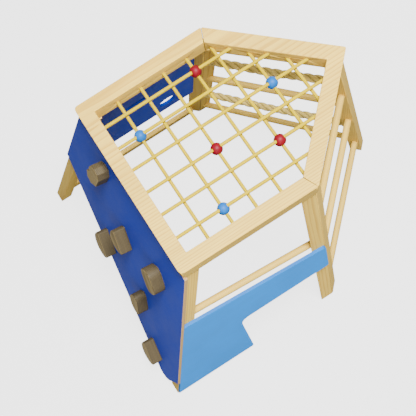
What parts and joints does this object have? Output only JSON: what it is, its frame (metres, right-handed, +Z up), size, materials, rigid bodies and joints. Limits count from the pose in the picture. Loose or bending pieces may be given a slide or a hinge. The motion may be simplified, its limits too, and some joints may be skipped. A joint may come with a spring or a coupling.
{
  "type": "toddler climbing frame",
  "caption": "Five-sided timber climbing frame with splayed legs, rope net top, sloping climbing wall with wooden holds, crawl-through side panel and rung ladders.",
  "frame": {"origin": "middle of the bounding box's footprint, on the floor", "axes": "+Z up, -Y towards the climbing wall's side, +X towards the crawl-through panel's side"},
  "size_m": [1.4368, 1.7372, 1.165],
  "materials": {
    "frame_timber": "clear lacquered pale timber, satin",
    "rung_timber": "clear lacquered pale timber, satin",
    "hold_timber": "sanded, oiled timber",
    "panel_blue": "painted board, satin",
    "panel_light_blue": "painted board, satin",
    "net_rope": "braided rope, matt",
    "ball_red": "smooth, glossy",
    "ball_blue": "smooth, glossy",
    "natural_rope": "three-strand twisted rope, matt"
  },
  "bodies": {
    "root": {"top_frame_front": "frame_timber", "top_frame_rear": "frame_timber", "leg_front_left": "frame_timber", "leg_front_right": "frame_timber", "leg_left_front_half": "frame_timber", "leg_left_rear_half": "frame_timber", "leg_right_front_half": "frame_timber", "leg_right_rear_half": "frame_timber", "leg_rear": "frame_timber", "rear_left_rung_middle": "rung_timber", "rear_left_rung_bottom": "rung_timber", "rear_right_rung_upper": "rung_timber", "rear_right_rung_middle": "rung_timber", "rear_right_rung_bottom": "rung_timber", "right_rail": "rung_timber", "left_rail": "rung_timber", "hold_1": "hold_timber", "hold_2": "hold_timber", "hold_3": "hold_timber", "hold_4": "hold_timber", "hold_5": "hold_timber", "hold_6": "hold_timber", "climbing_wall": "panel_blue", "left_board": "panel_blue", "right_panel": "panel_light_blue", "net_rope_long_1": "net_rope", "net_rope_long_2": "net_rope", "net_rope_long_3": "net_rope", "net_rope_long_4": "net_rope", "net_rope_long_5": "net_rope", "net_rope_long_6": "net_rope", "net_rope_cross_1": "net_rope", "net_rope_cross_2": "net_rope", "net_rope_cross_3": "net_rope", "net_rope_cross_4": "net_rope", "net_rope_cross_5": "net_rope", "net_rope_cross_6": "net_rope", "net_rope_cross_7": "net_rope", "net_ball_1": "ball_red", "net_ball_2": "ball_red", "net_ball_3": "ball_red", "net_ball_4": "ball_blue", "net_ball_5": "ball_blue", "net_ball_6": "ball_blue", "rear_left_rope_upper": "natural_rope", "rear_left_rope_lower": "natural_rope"}
  },
  "joints": []
}
